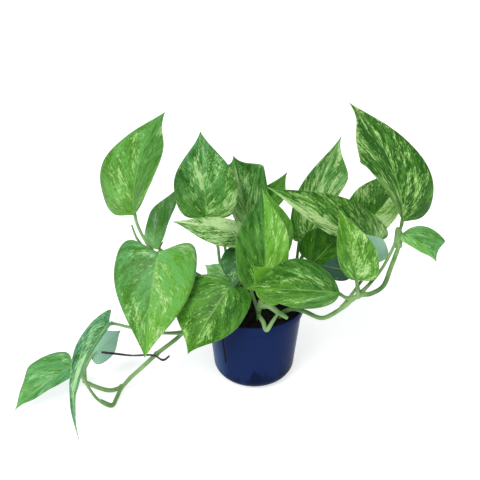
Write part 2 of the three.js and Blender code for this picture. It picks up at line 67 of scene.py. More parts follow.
LEAVES = {
    "leaf_left_top": Blade(
        base=(-119, -10, 193), tip=(-87, 25, 286), face=(-0.5, -0.75, 0.4),
        width=(47, 35), lobe=(0.07, -0.06), broad=(0.14, 0.5), fold=(15, 30),
        arch=0.04, curl=-8, sway=-0.08, twist=-30),
    "leaf_left_behind": Blade(
        base=(-99, 4, 147), tip=(-73, 29, 210), face=(-0.6, -0.75, 0.2),
        width=(23, 20), lobe=(0.04, -0.1), broad=(0.35, 0.4), fold=(12, 50), arch=-0.06, sway=-0.05),
    "leaf_left_hanging": Blade(
        base=(-96, -25, 160), tip=(-107, -82, 75), face=(0, -0.75, 0.6),
        width=(41, 44), lobe=(0.11, 0.09), broad=(0.16, 0.17), fold=(-10, -10),
        arch=0.06, curl=-8, wave=1.5),
    "leaf_trail_end": Blade(
        base=(-188, -45, 36), tip=(-245, -74, 3), face=(-0.1, -0.6, 0.8),
        width=(9, 29), lobe=(0.04, 0.06), broad=(0.3, 0.45), fold=(-20, -12), arch=0.12, wave=2.5),
    "leaf_trail_droop": Blade(
        base=(-147, -40, 87), tip=(-172, -115, 1.5), face=(-0.75, -0.4, 0.5),
        width=(12, 17), lobe=(0.04, 0.1), broad=(0.6, 0.14), fold=(20, 20), arch=0.15, twist=-30),
    "leaf_trail_under": Blade(
        base=(-174, -25, 33), tip=(-142, -10, 57), face=(0.1, 0.8, -0.2),
        width=(15, 17), lobe=(0.05, 0.05), broad=(0.35, 0.45), fold=(10, 10), arch=-0.05),
    "leaf_back_left": Blade(
        base=(-49, 5, 184), tip=(-54, 30, 265), face=(0.05, -0.85, 0.4),
        width=(30, 33), lobe=(0.02, 0.04), broad=(0.38, 0.33), fold=(12, 12), arch=0.05, curl=-5),
    "leaf_middle_pale": Blade(
        base=(-11, -12, 170), tip=(-79, -42, 202), face=(-0.1, -0.8, 0.5),
        width=(15, 14), lobe=(0.02, 0.06), broad=(0.35, 0.2), fold=(-8, -20), arch=0.04, sway=0.02),
    "leaf_back_middle": Blade(
        base=(-5, 22, 165), tip=(-22, 45, 234), face=(0.1, -0.85, 0.3),
        width=(18, 28), lobe=(0.04, 0.02), broad=(0.9, 0.74), fold=(10, 10), arch=-0.05),
    "leaf_back_small": Blade(
        base=(-5, 46, 166), tip=(34, 50, 214), face=(-0.2, -0.8, 0.4),
        width=(12, 16), lobe=(0.03, 0.03), broad=(0.35, 0.6), fold=(20, 20),
        arch=0.04, sway=0.05, wave=0.6),
    "leaf_middle_tall": Blade(
        base=(8, -46, 130), tip=(6, -10, 223), face=(0, -0.9, 0.3),
        width=(29, 23), lobe=(0.02, 0.02), broad=(0.46, 0.46), fold=(14, 14),
        arch=0.03, curl=-5, sway=0.02, wave=0.8),
    "leaf_middle_dark": Blade(
        base=(13, 0, 139), tip=(10, 12, 212), face=(0.2, -0.9, 0.2),
        width=(20, 26), lobe=(0.03, 0.03), broad=(0.4, 0.4), fold=(10, 10), arch=0.03, wave=0.8),
    "leaf_middle_young": Blade(
        base=(28, -51, 129), tip=(-4, -66, 169), face=(0.1, -0.8, 0.5),
        width=(20, 12), lobe=(0.03, 0.03), broad=(0.5, 0.5), fold=(8, 8), arch=0.02, wave=0.5),
    "leaf_middle_shaded": Blade(
        base=(-10, -18, 157), tip=(-22, -46, 131), face=(-0.3, -0.8, 0.4),
        width=(11, 21), lobe=(0.06, 0.06), broad=(0.35, 0.35), fold=(0, 0), arch=0.04, wave=0.5),
    "leaf_front_right": Blade(
        base=(82, -46, 126), tip=(-12, -82, 154), face=(0.1, -0.8, 0.6),
        width=(18, 32), lobe=(-0.03, -0.04), broad=(0.45, 0.45), fold=(-16, -10),
        arch=0.08, curl=-5, wave=2),
    "leaf_front_left": Blade(
        base=(-23, -36, 131), tip=(-66, -76, 75), face=(-0.2, -0.75, 0.6),
        width=(29, 46), lobe=(0.05, -0.01), broad=(0.37, 0.48), fold=(-12, -8),
        arch=0.06, curl=-5, wave=1.5),
    "leaf_right_upright": Blade(
        base=(54, 25, 146), tip=(89, 60, 249), face=(0, -0.9, 0.35),
        width=(21, 25), lobe=(0.05, -0.18), broad=(0.33, 0.62), fold=(18, 18),
        arch=0.03, sway=-0.05, twist=-50),
    "leaf_right_long": Blade(
        base=(111, -14, 161), tip=(9, -32, 233), face=(0, -0.8, 0.6),
        width=(15, 32), lobe=(-0.14, 0.16), broad=(0.32, 0.18), fold=(-60, -8), arch=0.06, wave=1.5),
    "leaf_right_front": Blade(
        base=(97, -50, 143), tip=(76, -38, 214), face=(-0.1, -0.9, 0.3),
        width=(14, 24), lobe=(-0.04, 0.05), broad=(0.35, 0.3), fold=(14, 14), arch=0.04, sway=0.02),
    "leaf_right_under": Blade(
        base=(115, -27, 147), tip=(96, -25, 184), face=(0.2, 0.9, -0.2),
        width=(21, 14), lobe=(0.05, 0.05), broad=(0.4, 0.4), fold=(10, 10), arch=-0.05),
    "leaf_right_low": Blade(
        base=(98, -22, 137), tip=(66, -16, 140), face=(0.1, 0.9, -0.3),
        width=(13, 13), lobe=(-0.02, -0.02), broad=(0.45, 0.45), fold=(10, 10), arch=-0.05, wave=0.6),
    "leaf_right_shaded": Blade(
        base=(60, 2, 132), tip=(95, 2, 176), face=(-0.3, -0.8, 0.4),
        width=(26, 20), lobe=(0.05, 0.05), broad=(0.35, 0.35), fold=(10, 10), arch=0.03),
    "leaf_right_back": Blade(
        base=(116, 32, 160), tip=(159, 42, 221), face=(0.3, -0.8, 0.4),
        width=(37, 22), lobe=(0.04, 0.06), broad=(0.35, 0.3), fold=(10, 60), arch=0.05),
    "leaf_right_top": Blade(
        base=(140, -30, 196), tip=(82, -20, 309), face=(0.1, -0.8, 0.5),
        width=(30, 34), lobe=(-0.25, 0.06), broad=(0.62, 0.16), fold=(25, 8),
        arch=0.06, curl=-5, sway=0.07, wave=2.5),
    "leaf_right_tip": Blade(
        base=(140, -32, 184), tip=(172, -46, 161), face=(0.3, -0.7, 0.6),
        width=(26, 8), lobe=(-0.06, 0), broad=(0.9, 0.3), fold=(-12, -15),
        arch=0.08, sway=-0.06, wave=0.6),
    "leaf_rear_left": Blade(
        base=(-31, 44, 148), tip=(-64, 104, 116), face=(-0.1, 0.5, 0.85),
        width=(24, 24), lobe=(0.07, 0.07), broad=(0.3, 0.3), fold=(10, 10),
        arch=0.1, curl=-6, wave=1.5),
    "leaf_rear_middle": Blade(
        base=(8, 44, 138), tip=(-2, 112, 104), face=(0, 0.5, 0.85),
        width=(25, 25), lobe=(0.07, 0.07), broad=(0.3, 0.3), fold=(10, 10),
        arch=0.1, curl=-6, wave=1.5),
    "leaf_rear_right": Blade(
        base=(50, 48, 146), tip=(88, 104, 118), face=(0.1, 0.5, 0.85),
        width=(23, 23), lobe=(0.07, 0.07), broad=(0.3, 0.3), fold=(10, 10),
        arch=0.1, curl=-6, wave=1.5),
    "leaf_front_small": Blade(
        base=(-26, -11, 122), tip=(-51, -13, 139), face=(-0.25, -0.8, 0.6),
        width=(13, 8), lobe=(0.05, 0.05), broad=(0.5, 0.5), fold=(0, 0), arch=0.04, wave=0.5),
}

# How light the green of the left and the right half is, how much of each is marbled with cream,
# how much painted sheen, a bluish reflection of the sky, lies on the base and on the tip, and how
# dry the tip is. 0 is none and 1 is full, and a value past either pushes the mottled tone that way.
Colouring = namedtuple("Colouring", "green marble cool dry", defaults=((0.2, 0.4), 0.0))

COLOURING = {
    "leaf_left_top": Colouring((0.6, 0.45), (0.24, 0.15), (0.1, 0.5)),
    "leaf_left_behind": Colouring((1.3, 0.8), (0.42, 0.12), (0.6, 1.8)),
    "leaf_left_hanging": Colouring((0.98, 0.55), (0.33, 0.28), (1.0, 0.2)),
    "leaf_trail_end": Colouring((0.6, 0.75), (0.2, 0.28), (1.4, 0.9)),
    "leaf_trail_droop": Colouring((0.45, 0.35), (0.38, 0.38), (1.5, 2.0)),
    "leaf_trail_under": Colouring((1.0, 1.0), (0.3, 0.3), (1.9, 1.9)),
    "leaf_back_left": Colouring((0.33, 0.38), (0.25, 0.38), (0.0, 0.7)),
    "leaf_middle_pale": Colouring((0.3, 0.3), (0.5, 0.68), (0.3, 0.3)),
    "leaf_back_middle": Colouring((0.6, 0.3), (0.5, 0.28)),
    "leaf_back_small": Colouring((0.5, 0.4), (0.1, 0.1), (0.0, 0.3)),
    "leaf_middle_tall": Colouring((0.27, 0.85), (0.04, 0.42), (0.0, 0.3)),
    "leaf_middle_dark": Colouring((0.1, 0.9), (0.1, 0.1), (0.3, 0.3)),
    "leaf_middle_young": Colouring((1.0, 1.0), (0.05, 0.05), (0.0, 0.1), 0.3),
    "leaf_middle_shaded": Colouring((0.1, 0.05), (0.1, 0.1), (0.3, 0.3)),
    "leaf_front_right": Colouring((0.42, 0.3), (0.22, 0.2), (0.4, 0.0)),
    "leaf_front_left": Colouring((0.28, 0.33), (0.16, 0.26), (0.2, 0.0)),
    "leaf_right_upright": Colouring((0.35, 0.35), (0.35, 0.42), (0.0, 0.5)),
    "leaf_right_long": Colouring((0.3, 0.22), (0.65, 0.4), (0.1, 0.1)),
    "leaf_right_front": Colouring((0.42, 0.5), (0.2, 0.4), (0.2, 0.0)),
    "leaf_right_under": Colouring((1.0, 1.0), (0.3, 0.3), (0.9, 0.9)),
    # painted shade: its green below 0 gives its lower side the full dark teal of deep shade
    "leaf_right_low": Colouring((-0.2, -0.2), (0.0, 0.0), (0.1, 0.4)),
    "leaf_right_shaded": Colouring((0.1, 0.1), (0.1, 0.1), (0.0, 0.0)),
    "leaf_right_back": Colouring((0.25, 0.9), (0.3, 0.7), (0.0, 0.25)),
    "leaf_right_top": Colouring((0.06, 0.08), (0.36, 0.32), (0.0, 0.1)),
    "leaf_right_tip": Colouring((0.6, 0.9), (0.25, 0.35), (0.6, 0.8)),
    "leaf_rear_left": Colouring((0.4, 0.4), (0.3, 0.3)),
    "leaf_rear_middle": Colouring((0.35, 0.4), (0.3, 0.35)),
    "leaf_rear_right": Colouring((0.4, 0.35), (0.35, 0.3)),
    "leaf_front_small": Colouring((1.0, 1.0), (0.55, 0.5), (0.2, 1.5)),
}

# A stem's age, from 0 for pale and young to 1 for old and green, its vine above the soil, which
# points of the vine are thick nodes, the way of each leaf's stalk, and its bare shoots, each
# with its radius.
Stem = namedtuple("Stem", "age vine knuckles stalks shoots", defaults=((),))

STEMS = {
    "stem_left_trail": Stem(
        age=0.36,
        vine=[
            (-33, -12, 84), (-47, -16, 94), (-62, -20, 80), (-78, -26, 61), (-102, -36, 45),
            (-116, -41, 33), (-130, -42, 19), (-141, -40, 5), (-152, -43, 2.7), (-165, -40, 3.5),
            (-183, -32, 6),
        ],
        knuckles=(4, 7),
        stalks={
            "leaf_trail_end": [(-141, -40, 5), (-144, -56, 2.5), (-147, -67, 1.8), (-163, -59, 4)],
            "leaf_trail_droop": [(-76, -25, 64), (-98, -32, 69), (-127, -38, 80)],
            "leaf_trail_under": [(-181, -33, 6), (-181, -30, 18), (-177, -28, 27)],
        },
        shoots=[
            (1.2, [(-130, -42, 19), (-131, -46, 18), (-132, -48, 17)]),
            (2.2, [(-141, -40, 5), (-144, -56, 3.2), (-147, -66, 2.6), (-160, -60, 4)]),
            (2.4, [(-181, -33, 6), (-181, -31, 15), (-180, -30, 24)]),
        ],
    ),
    "stem_left_tall": Stem(
        age=0.4,
        vine=[(-34, 8, 84), (-50, 6, 108), (-72, 2, 126), (-90, -2, 138)],
        knuckles=(2,),
        stalks={
            "leaf_left_top": [(-88, -3, 137), (-102, -12, 154), (-114, -10, 176)],
            "leaf_left_behind": [(-84, 0, 134), (-91, 6, 141)],
            "leaf_left_hanging": [(-78, 0, 130), (-88, -10, 148)],
        },
        shoots=[
            (1.5, [(-88, -2, 137), (-106, -6, 149), (-118, -5, 164), (-123, -3, 179)]),
        ],
    ),
    "stem_middle_left": Stem(
        age=0.5,
        vine=[(-18, 12, 84), (-22, 10, 108), (-22, 10, 126)],
        knuckles=(1,),
        stalks={
            "leaf_back_left": [(-21, 11, 104), (-35, 2, 130), (-38, 3, 152), (-44, 6, 172)],
            "leaf_back_middle": [(-22, 10, 126), (-12, 22, 148)],
            "leaf_back_small": [(-22, 10, 118), (-12, 43, 144)],
            "leaf_front_left": [(-20, 10, 98), (-22, -14, 120)],
            "leaf_front_small": [(-21, 11, 103), (-23, -1, 114)],
            "leaf_middle_pale": [(-22, 10, 120), (-16, 2, 148)],
            "leaf_rear_left": [(-22, 10, 112), (-31, 27, 136)],
            "leaf_rear_middle": [(-19, 12, 96), (0, 26, 124)],
        },
    ),
    "stem_middle_front": Stem(
        age=0.32,
        vine=[(4, -24, 84), (4, -28, 96), (5, -32, 108)],
        knuckles=(1,),
        stalks={
            "leaf_middle_tall": [(4, -28, 96), (8, -36, 114)],
            "leaf_middle_young": [(5, -32, 106), (18, -34, 116)],
            "leaf_middle_shaded": [(4, -26, 90), (-6, -12, 118), (-6, -14, 146)],
            "leaf_middle_dark": [(4, -27, 94), (9, -8, 110), (13, 4, 128)],
        },
        shoots=[
            (2.4, [(4, -26, 86), (8, -46, 91.5), (11, -56, 89), (17, -51, 96), (22, -46, 101)]),
            (3, [(5, -30, 100), (14, -42, 108), (22, -46, 104), (32, -50, 99)]),
        ],
    ),
    "stem_right_back": Stem(
        age=0.85,
        vine=[(28, 12, 84), (40, 14, 104), (48, 20, 122)],
        knuckles=(1,),
        stalks={
            "leaf_right_upright": [(48, 20, 122), (53, 24, 136)],
            "leaf_right_back": [(44, 17, 112), (80, 26, 134), (106, 32, 146)],
            "leaf_right_long": [(40, 14, 104), (76, 18, 124), (110, 8, 140), (118, -4, 152)],
            "leaf_right_shaded": [(36, 13, 98), (52, 8, 116)],
            "leaf_rear_right": [(44, 17, 112), (47, 34, 132)],
        },
    ),
    "stem_right_reach": Stem(
        age=0.5,
        vine=[
            (27, -21, 84), (38, -27, 95), (50, -34, 96.5), (67, -42, 94), (84, -42, 104),
            (101, -42, 120), (114, -42, 123), (125, -40, 130), (131, -37, 148), (138, -33, 172),
        ],
        knuckles=(5, 9),
        stalks={
            "leaf_front_right": [(101, -42, 120), (93, -43, 117)],
            "leaf_right_front": [(101, -42, 120), (99, -46, 130)],
            "leaf_right_top": [(103, -41, 122), (113, -38, 133), (124, -37, 151), (136, -28, 176)],
            "leaf_right_tip": [(138, -33, 172), (138, -29, 177)],
            "leaf_right_under": [(86, -42, 106), (102, -32, 126)],
            "leaf_right_low": [(101, -42, 120), (101, -36, 127)],
        },
        shoots=[
            (2.4, [(101, -42, 120), (94, -43, 118), (88, -44, 120)]),
            (4.3, [(137, -30, 168), (138, -27, 178), (137, -25, 187)]),
        ],
    ),
}

AERIAL_ROOT = [(-160, -33, 45), (-130, -38, 45), (-104, -40.2, 46), (-95, -42, 42), (-88, -42, 47)]


# ---------------- settings


def metres(name, description, default):
    return bpy.props.FloatProperty(
        name=name, description=description, default=default, unit="LENGTH"
    )


def number(name, description, default):
    return bpy.props.IntProperty(name=name, description=description, default=default)


def colour(name, description, default):
    return bpy.props.FloatVectorProperty(
        name=name, description=description, default=default, subtype="COLOR"
    )


class PotSettings(bpy.types.PropertyGroup):
    """Sizes and colours of the plastic pot."""

    rim_radius: metres("Rim radius", "Outside radius at the rim", POT_SIZE[0])
    top_radius: metres("Top radius", "Radius that the wall would have at the rim's height", 0.05)
    foot_radius: metres("Foot radius", "Radius that the wall would have at the table", 0.0425)
    height: metres("Height", "Height of the rim", POT_SIZE[2])
    rim_band: metres("Rim band", "Height of the wider band at the rim", 0.009)
    wall: metres("Wall", "Thickness of the wall", 0.002)
    foot_round: metres("Foot rounding", "Radius of the rounded foot edge", 0.016)
    drains: number("Drains", "How many drain holes the bottom has", 5)
    drain_radius: metres("Drain radius", "Radius of each drain hole", 0.0035)
    drain_ring: metres("Drain ring", "Distance of the drain holes from the middle", 0.015)
    plastic: colour("Plastic", "Colour of the plastic", (0.0082, 0.0205, 0.082))
    # painted highlight: the colour of a light's reflection, painted down the pot's left front
    painted_highlight: colour("Highlight", "Colour of the lighter streak down one side", (0.04, 0.082, 0.215))


class SoilSettings(bpy.types.PropertyGroup):
    """Shape and colours of the potting mix."""

    below_rim: metres("Below rim", "Depth of the soil below the rim", 0.01)
    dome: metres("Dome", "Rise of the soil towards the middle", 0.003)
    crumbs: number("Crumbs", "How many loose crumbs lie on the soil", 650)
    dark: colour("Dark", "Colour of the wet mix", (0.0035, 0.0026, 0.0022))
    light: colour("Light", "Colour of the drier crumbs", (0.022, 0.014, 0.01))


class StemSettings(bpy.types.PropertyGroup):
    """Sizes and colours of the vines, stalks and root."""

    vine_radius: metres("Vine radius", "Radius of a vine", 0.0023)
    stalk_radius: metres("Stalk radius", "Radius of a leaf's stalk", 0.0016)
    cell: metres("Joint cell", "Cell size that melts stalks and vine into one skin", 0.00045)
    green: colour("Green", "Colour of the older stems", (0.06, 0.165, 0.03))
    pale: colour("Pale green", "Colour of the young stems", (0.24, 0.41, 0.15))
    bark: colour("Root brown", "Colour of the dry aerial root", (0.034, 0.028, 0.031))


class LeafSettings(bpy.types.PropertyGroup):
    """Thickness, fineness and colours of the blades."""

    thickness: metres("Thickness", "Thickness of a blade", 0.0006)
    rows: number("Rows", "Faces from the stalk to the tip", 52)
    columns: number("Columns", "Faces from edge to edge", 28)
    deep: colour("Deep green", "Green of the darkest blades", (0.012, 0.08, 0.002))
    bright: colour("Bright green", "Green of the lightest blades", (0.125, 0.36, 0.016))
    # painted sheen: a bluish reflection of the sky, added into the blades' colour
    painted_sheen: colour("Sheen", "Added where the waxy skin mirrors the sky", (0.0, 0.03, 0.1))
    light: colour("Light green", "Colour round the cream marks", (0.22, 0.45, 0.085))
    cream: colour("Cream", "Colour of the marbling", (0.46, 0.66, 0.27))
    underside: colour("Underside", "Colour of a blade's lower side", (0.25, 0.42, 0.26))


class StageSettings(bpy.types.PropertyGroup):
    """Floor, light and camera."""

    pitch: bpy.props.FloatProperty(
        name="Pitch", description="Angle that the camera looks down", subtype="ANGLE",
        default=math.radians(28),
    )
    place: bpy.props.FloatVectorProperty(
        name="Place", description="Where the camera stands", subtype="TRANSLATION",
        default=(-0.0152, -0.6455, 0.5034),
    )
    lens: bpy.props.FloatProperty(
        name="Lens", description="Focal length in millimetres on a 36 mm sensor", default=54.3
    )
    floor: colour("Floor", "Colour of the floor", (0.7, 0.7, 0.7))


# ---------------- pieces and paths


def mesh_from(bm, name):
    """Turns a bmesh into a mesh, and frees it."""
    mesh = bpy.data.meshes.new(name)
    bm.to_mesh(mesh)
    bm.free()
    return mesh


def place_new(name, data):
    """A new object in the scene, from its mesh, light or camera."""
    made = bpy.data.objects.new(name, data)
    bpy.context.scene.collection.objects.link(made)
    return made


def finish_piece(bm, name, materials, replaces):
    """Turns a bmesh into a smooth piece that rides on the plant's body."""
    mesh = mesh_from(bm, name)
    mesh.shade_smooth()
    for material in materials:
        mesh.materials.append(material)
    piece = place_new(name, mesh)
    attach(piece, "root")
    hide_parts(*replaces)
    return piece


def smooth_route(points, step):
    """Evenly spaced points, step metres apart, on a curve through millimetre points."""
    knots = [Vector(p) * MM for p in points]
    knots = [2 * knots[0] - knots[1], *knots, 2 * knots[-1] - knots[-2]]
    pieces = 16  # straight pieces between two knots, before they are spaced evenly
    line = []
    for a, b, c, d in zip(knots, knots[1:], knots[2:], knots[3:]):
        gaps = [max((q - p).length ** 0.5, 1e-4) for p, q in ((a, b), (b, c), (c, d))]
        out = ((b - a) / gaps[0] - (c - a) / (gaps[0] + gaps[1]) + (c - b) / gaps[1]) * gaps[1]
        into = ((c - b) / gaps[1] - (d - b) / (gaps[1] + gaps[2]) + (d - c) / gaps[2]) * gaps[1]
        for k in range(pieces):
            t = k / pieces
            line.append(
                b + out * t
                + (3 * (c - b) - 2 * out - into) * t**2
                + (2 * (b - c) + out + into) * t**3
            )
    line.append(knots[-2])
    lengths = [0.0]
    for p, q in zip(line, line[1:]):
        lengths.append(lengths[-1] + (q - p).length)
    steps = max(2, round(lengths[-1] / step))
    spaced, k = [], 0
    for i in range(steps + 1):
        want = lengths[-1] * i / steps
        while k < len(line) - 2 and lengths[k + 1] < want:
            k += 1
        share = (want - lengths[k]) / (lengths[k + 1] - lengths[k])
        spaced.append(line[k].lerp(line[k + 1], min(1.0, share)))
    return spaced


def sweep(bm, points, radii, sides):
    """Draws a ring along a path, with a radius for each point, and closes both ends."""
    ways = [
        (points[min(i + 1, len(points) - 1)] - points[max(i - 1, 0)]).normalized()
        for i in range(len(points))
    ]
    turn = ways[0].to_track_quat("Z", "Y")
    last = None
    for i, (point, way, radius) in enumerate(zip(points, ways, radii)):
        if i:
            turn = ways[i - 1].rotation_difference(way) @ turn
        place = Matrix.LocRotScale(point, turn, (radius, radius, radius))
        if last is None:
            made = bmesh.ops.create_circle(
                bm, cap_ends=True, radius=1.0, segments=sides, matrix=place
            )
            ring = made["verts"]
            edges = [e for e in bm.edges if e.verts[0] in ring and e.verts[1] in ring]
        else:
            grown = bmesh.ops.extrude_edge_only(bm, edges=edges)["geom"]
            ring = {g for g in grown if isinstance(g, bmesh.types.BMVert)}
            edges = [
                g for g in grown
                if isinstance(g, bmesh.types.BMEdge) and g.verts[0] in ring and g.verts[1] in ring
            ]
            bmesh.ops.transform(bm, matrix=place @ last.inverted(), verts=list(ring))
        last = place
    bmesh.ops.contextual_create(bm, geom=edges)


# ---------------- shader helpers


def new_material(name):
    """A material with nodes, and its tree."""
    material = bpy.data.materials.new(name)
    material.use_nodes = True
    return material, material.node_tree


def add(tree, kind, inputs=(), **settings):
    """Adds a node, sets its properties, and gives its inputs numbers, colours or links."""
    made = tree.nodes.new(kind)
    for key, value in settings.items():
        setattr(made, key, value)
    for key, value in dict(inputs).items():
        if isinstance(value, bpy.types.NodeSocket):
            tree.links.new(value, made.inputs[key])
        else:
            made.inputs[key].default_value = value
    return made


def maths(tree, operation, *values):
    inputs = dict(enumerate(values))
    return add(tree, "ShaderNodeMath", inputs, operation=operation).outputs[0]


def times(tree, a, b):
    return maths(tree, "MULTIPLY", a, b)


def plus(tree, a, b):
    return maths(tree, "ADD", a, b)


def scaled(tree, value, factor, offset):
    """A value times a factor, plus an offset."""
    return maths(tree, "MULTIPLY_ADD", value, factor, offset)


def vector_maths(tree, operation, *values):
    inputs = dict(enumerate(values))
    return add(tree, "ShaderNodeVectorMath", inputs, operation=operation).outputs[0]


def split(tree, vector):
    """The three parts of a vector."""
    return add(tree, "ShaderNodeSeparateXYZ", {0: vector}).outputs


def own_place(tree):
    """Where the shaded point lies in its piece's own coordinates."""
    return add(tree, "ShaderNodeTexCoord").outputs["Object"]


def blend_colours(tree, factor, a, b, mode="MIX"):
    inputs = {0: factor}
    for key, value in ((6, a), (7, b)):
        inputs[key] = value if isinstance(value, bpy.types.NodeSocket) else (*value, 1.0)
    return add(tree, "ShaderNodeMix", inputs, data_type="RGBA", blend_type=mode).outputs[2]


def glaze(tree, base, mask, amount, tint, mode="MIX"):
    """Lays a tint over the base where the mask is white, up to the given amount."""
    return blend_colours(tree, times(tree, mask, amount), base, tint, mode)


def step_up(tree, value, start, end):
    """0 before start and 1 past end, with a soft step between."""
    made = add(
        tree, "ShaderNodeMapRange", {0: value, 1: start, 2: end}, interpolation_type="SMOOTHSTEP"
    )
    return made.outputs[0]


def grain(tree, vector, scale, detail=3.0, roughness=0.6):
    inputs = {"Vector": vector, "Scale": scale, "Detail": detail, "Roughness": roughness}
    return add(tree, "ShaderNodeTexNoise", inputs).outputs["Fac"]


def bump(tree, height, strength, distance):
    inputs = {"Height": height, "Strength": strength, "Distance": distance}
    return add(tree, "ShaderNodeBump", inputs).outputs[0]


def surface(material, base, roughness, specular, normal=None):
    """Gives a material's shader its colour, roughness, mirroring and relief."""
    tree = material.node_tree
    shader = tree.nodes["Principled BSDF"]
    tree.links.new(base, shader.inputs["Base Color"])
    tree.links.new(roughness, shader.inputs["Roughness"])
    if normal:
        tree.links.new(normal, shader.inputs["Normal"])
    shader.inputs["Specular IOR Level"].default_value = specular
    return material


def new_group(name, inputs, outputs):
    """A node group, with the kind of each named socket, and its inner input and output."""
    tree = bpy.data.node_groups.new(name, "ShaderNodeTree")
    for way, sockets in (("INPUT", inputs), ("OUTPUT", outputs)):
        for label, kind in sockets.items():
            tree.interface.new_socket(label, in_out=way, socket_type=kind)
    return tree, tree.nodes.new("NodeGroupInput").outputs, tree.nodes.new("NodeGroupOutput").inputs


# What each blade's points carry: the colouring of its half, and a seed for its own pattern.
CHANNELS = ("green", "marble", "cool", "seed", "dry")

OTHER_HALF = 7.3  # added to the seed in the right half, so that no half mirrors the other
VEIN_CLIMB = 0.36  # how much of the blade's length a side vein climbs on its way to the edge
VEIN_WAVES = 110.0  # radians of the side veins' wave in a blade's length
WAX_MIRRORING = 0.16  # specular level of both sides of a blade


def marbling_group():
    """Streaks of cream and light green that run along a blade's side veins."""
    name = "Blade marbling"
    if name in bpy.data.node_groups:
        return bpy.data.node_groups[name]
    numbers = ("Cream", "Light", "Mottle", "Veins", "Midrib", "Edge")
    tree, given, out = new_group(
        name,
        {"Blade": "NodeSocketVector", "Marble": "NodeSocketFloat", "Seed": "NodeSocketFloat"},
        dict.fromkeys(numbers, "NodeSocketFloat"),
    )
    place = split(tree, given["Blade"])
    across = maths(tree, "SUBTRACT", place[0], 0.5)
    side = times(tree, maths(tree, "ABSOLUTE", across), 2.0)
    right = maths(tree, "GREATER_THAN", across, 0.0)
    seed = plus(tree, given["Seed"], times(tree, right, OTHER_HALF))

    # the veins leave the midrib low and sweep up to the edge
    inward = maths(tree, "SUBTRACT", 1.0, side)
    ahead = maths(tree, "SUBTRACT", 1.0, place[1])
    climbed = times(tree, times(tree, inward, ahead), VEIN_CLIMB)
    vein = plus(tree, place[1], climbed)

    def streaks(along, outward, shift, detail):
        spot = add(tree, "ShaderNodeCombineXYZ", {
            0: times(tree, vein, along),
            1: times(tree, side, outward),
            2: plus(tree, seed, shift),
        }).outputs[0]
        return grain(tree, spot, 1.0, detail, 0.65)

    patches = streaks(along=6.0, outward=1.6, shift=3.1, detail=2.0)
    strokes = streaks(along=45.0, outward=5.0, shift=0.0, detail=3.0)
    hairs = streaks(along=106.0, outward=16.0, shift=6.3, detail=3.0)
    clouds = streaks(along=13.0, outward=2.6, shift=9.7, detail=4.0)

    # the more of a half is marbled, the lower the level that the marks have to pass
    mixed = scaled(tree, strokes, 0.3, times(tree, patches, 0.4))
    mixed = scaled(tree, hairs, 0.3, mixed)
    level = scaled(tree, given["Marble"], -0.26, 0.62)
    over = maths(tree, "SUBTRACT", mixed, level)
    mottle = scaled(tree, hairs, 0.4, times(tree, clouds, 0.6))
    wave = maths(tree, "COSINE", times(tree, vein, VEIN_WAVES))
    off_midrib = step_up(tree, side, 0.012, 0.045)
    marks = {
        "Cream": step_up(tree, over, 0.01, 0.06),
        "Light": step_up(tree, over, -0.04, 0.02),
        "Mottle": step_up(tree, mottle, 0.36, 0.64),
        "Veins": step_up(tree, wave, 0.72, 1.0),
        "Midrib": maths(tree, "SUBTRACT", 1.0, off_midrib),
        "Edge": step_up(tree, side, 0.965, 0.99),
    }
    for label, mark in marks.items():
        tree.links.new(mark, out[label])
    return tree


def blade_parts(tree):
    """The marbling of the blade that is being shaded, from its own map and attributes."""
    blade = add(tree, "ShaderNodeUVMap", uv_map="Blade").outputs[0]
    read = {
        key: add(tree, "ShaderNodeAttribute", attribute_name=key).outputs["Fac"]
        for key in CHANNELS
    }
    marbling = add(tree, "ShaderNodeGroup", node_tree=marbling_group())
    for label, source in (("Blade", blade), ("Marble", read["marble"]), ("Seed", read["seed"])):
        tree.links.new(source, marbling.inputs[label])
    return blade, read, marbling.outputs


def upper_material(look):
    """The waxy upper side: green with cream streaks, a pale midrib, faint side veins and painted
    sheen.
    """
    material, tree = new_material("Pothos blade, upper side")
    blade, read, marks = blade_parts(tree)
    tone = plus(tree, read["green"], scaled(tree, marks["Mottle"], 0.6, -0.3))
    base = blend_colours(tree, tone, look.deep, look.bright)
    base = glaze(tree, base, marks["Light"], 0.7, look.light)
    base = glaze(tree, base, marks["Cream"], plus(tree, read["marble"], 0.4), look.cream)
    base = glaze(tree, base, marks["Veins"], 0.07, look.light)
    base = glaze(tree, base, marks["Midrib"], 0.45, look.light)
    # painted sheen: the sky's bluish reflection is added where the mottle is light
    waxy = times(tree, read["cool"], marks["Mottle"])
    base = glaze(tree, base, waxy, 1.3, look.painted_sheen, "ADD")
    base = glaze(tree, base, marks["Edge"], 0.15, look.cream)
    tip = step_up(tree, split(tree, blade)[1], 0.86, 0.95)
    base = glaze(tree, base, tip, read["dry"], (0.05, 0.02, 0.008))
    relief = plus(tree, marks["Veins"], times(tree, marks["Cream"], -0.5))
    relief = plus(tree, relief, times(tree, marks["Midrib"], -1.5))
    roughness = scaled(tree, marks["Mottle"], 0.16, 0.32)
    return surface(material, base, roughness, WAX_MIRRORING, bump(tree, relief, 0.35, 0.0003))


